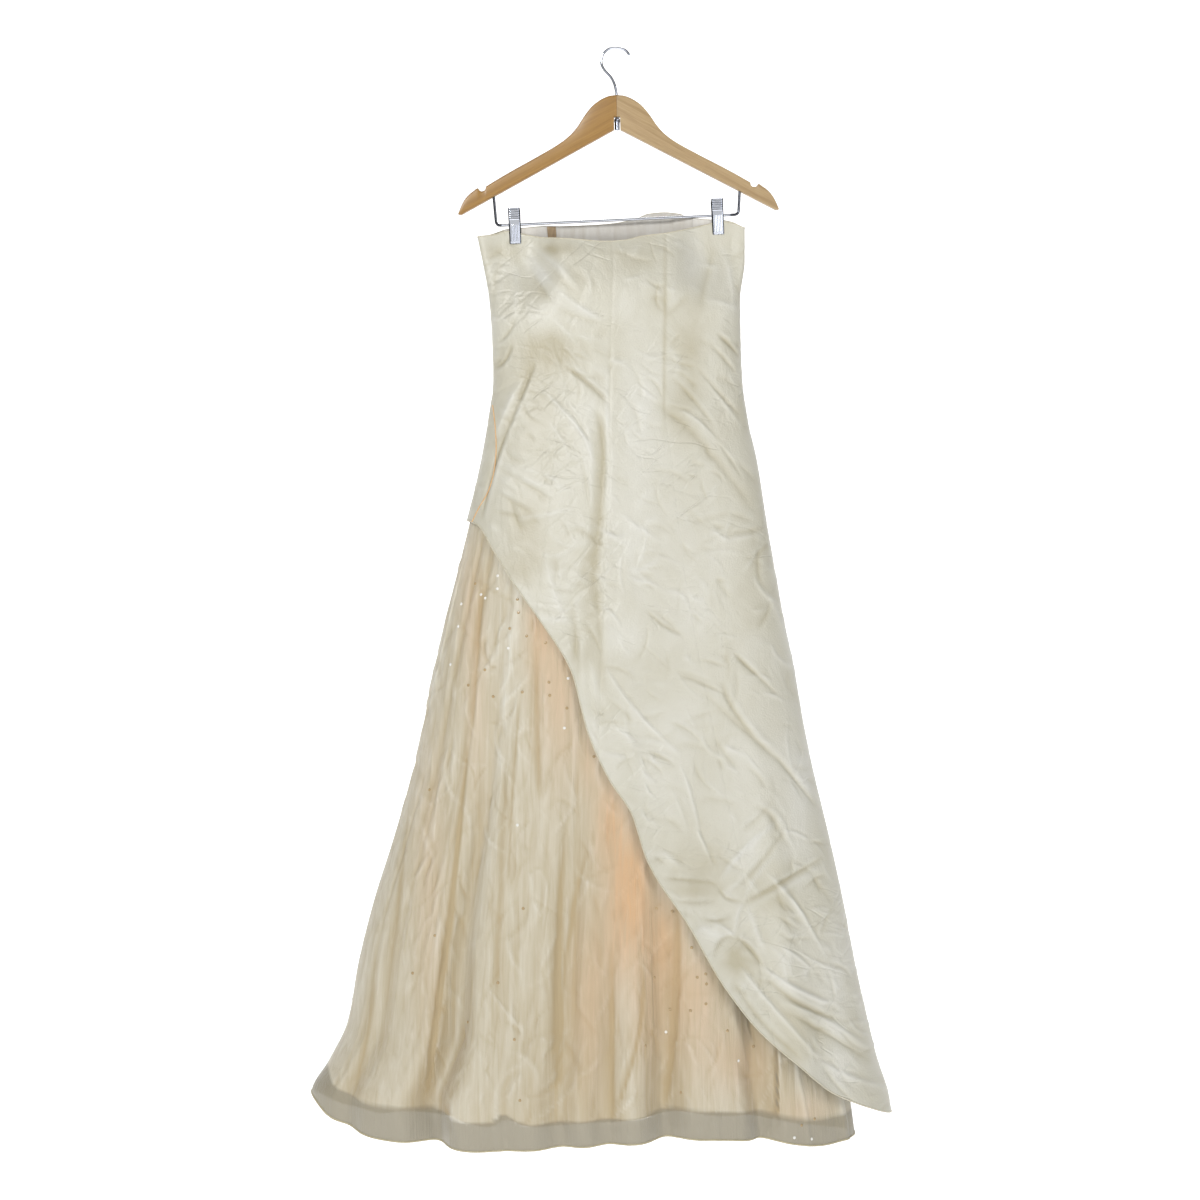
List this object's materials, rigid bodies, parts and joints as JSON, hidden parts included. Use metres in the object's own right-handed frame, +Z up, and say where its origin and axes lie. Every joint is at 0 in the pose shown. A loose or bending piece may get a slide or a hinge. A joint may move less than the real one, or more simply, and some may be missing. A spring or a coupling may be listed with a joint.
{
  "type": "strapless party dress on a wooden clip hanger",
  "caption": "Full-length strapless dress with a slanted satin overskirt over sheer organza and a lining, hung by two clips from a wooden hanger.",
  "frame": {"origin": "inside top of the hanger's hook, where a rail or wall hook holds it", "axes": "+Z up, -Y the front of the dress, +X the viewer's right seen from the front"},
  "size_m": [0.8054, 0.2442, 1.5117],
  "materials": {
    "satin": "champagne satin with a soft sheen",
    "organza": "sheer cream organza",
    "lining": "matt peach lining cloth",
    "facing": "pale grey facing cloth",
    "tape": "tan woven tape",
    "wood": "clear varnished beech",
    "chrome": "polished chrome plate"
  },
  "bodies": {
    "root": {"clip_left_back_jaw": "chrome", "clip_left_front_jaw": "chrome", "clip_left_pivot": "chrome", "clip_right_back_jaw": "chrome", "clip_right_front_jaw": "chrome", "clip_right_pivot": "chrome", "facing_back": "facing", "facing_tape": "tape", "hanger_arm_left": "wood", "hanger_arm_right": "wood", "hook": "chrome", "lining_back_left": "lining", "lining_back_right": "lining", "lining_front_left": "lining", "lining_front_right": "lining", "organza_back_left": "organza", "organza_back_right": "organza", "organza_front_left": "organza", "organza_front_right": "organza", "satin_back_left": "satin", "satin_back_right": "satin", "satin_front_left": "satin", "satin_front_right": "satin", "satin_side_back_left": "satin", "satin_side_back_right": "satin", "satin_side_front_left": "satin", "satin_side_front_right": "satin", "trouser_bar": "chrome"}
  },
  "joints": []
}
